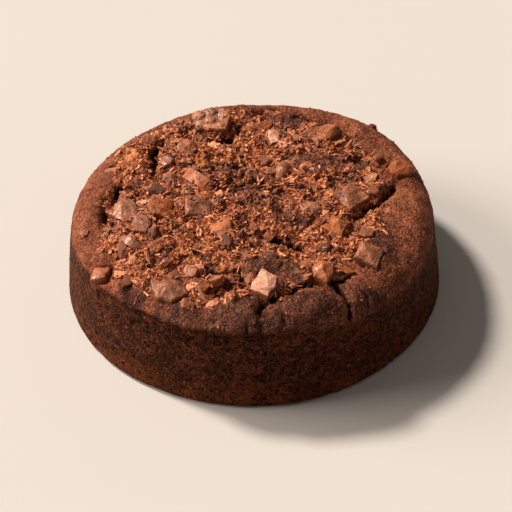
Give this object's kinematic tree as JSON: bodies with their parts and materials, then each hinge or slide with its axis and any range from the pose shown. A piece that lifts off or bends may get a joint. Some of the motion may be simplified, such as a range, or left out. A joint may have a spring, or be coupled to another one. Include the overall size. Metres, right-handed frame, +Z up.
{
  "type": "chocolate butter cake",
  "caption": "Round butter cake baked with broken chocolate: smooth straight wall, rounded shoulder and a cracked crumbly top set with chocolate chunks and shavings",
  "frame": {"origin": "middle of the cake's flat foot, on the surface that it stands on", "axes": "+Z up through the top of the cake, -Y the front that the picture is taken from, +X to the right seen from the front"},
  "size_m": [0.202, 0.202, 0.0606],
  "materials": {
    "crust": "baked chocolate crumb, matt and slightly rough, reddish brown on the top and near black-brown on the wall",
    "chocolate_pale": "pale bloomed milk chocolate with a soft shine",
    "chocolate_milk": "milk chocolate with a soft shine",
    "chocolate_amber": "half melted milk chocolate, amber brown and glossy",
    "chocolate_grey": "greyish brown chocolate, dusted with crumb",
    "chocolate_dark": "dark brown chocolate with a soft shine"
  },
  "bodies": {
    "root": {"cake": "crust", "chunk_back_flat": "chocolate_amber", "chunk_back_pale": "chocolate_pale", "chunk_back_amber": "chocolate_amber", "chunk_rim_amber": "chocolate_amber", "chunk_right_flat": "chocolate_milk", "chunk_right_grey": "chocolate_grey", "chunk_right_glossy": "chocolate_amber", "chunk_right_plate": "chocolate_milk", "chunk_pyramid": "chocolate_dark", "chunk_right_small": "chocolate_grey", "chunk_front_sliver": "chocolate_amber", "chunk_crust_flap": "chocolate_dark", "chunk_front_cube": "chocolate_amber", "chunk_front_pale": "chocolate_pale", "chunk_front_dark": "chocolate_dark", "chunk_left_corner": "chocolate_milk", "chunk_left_slab": "chocolate_milk", "chunk_left_olive": "chocolate_dark", "chunk_left_glossy": "chocolate_amber", "chunk_middle_grey": "chocolate_grey", "chunk_left_cube": "chocolate_dark", "chunk_left_facet": "chocolate_milk", "chunk_back_grey": "chocolate_grey", "chunk_back_facet": "chocolate_amber", "chunk_left_wedge": "chocolate_dark", "plate_middle": "chocolate_milk", "plate_front_red": "chocolate_milk", "plate_front_amber": "chocolate_amber", "chunk_pebble": "chocolate_pale", "chunk_back_crown": "chocolate_milk", "curl_left": "chocolate_amber", "curl_front": "chocolate_milk"}
  },
  "joints": []
}
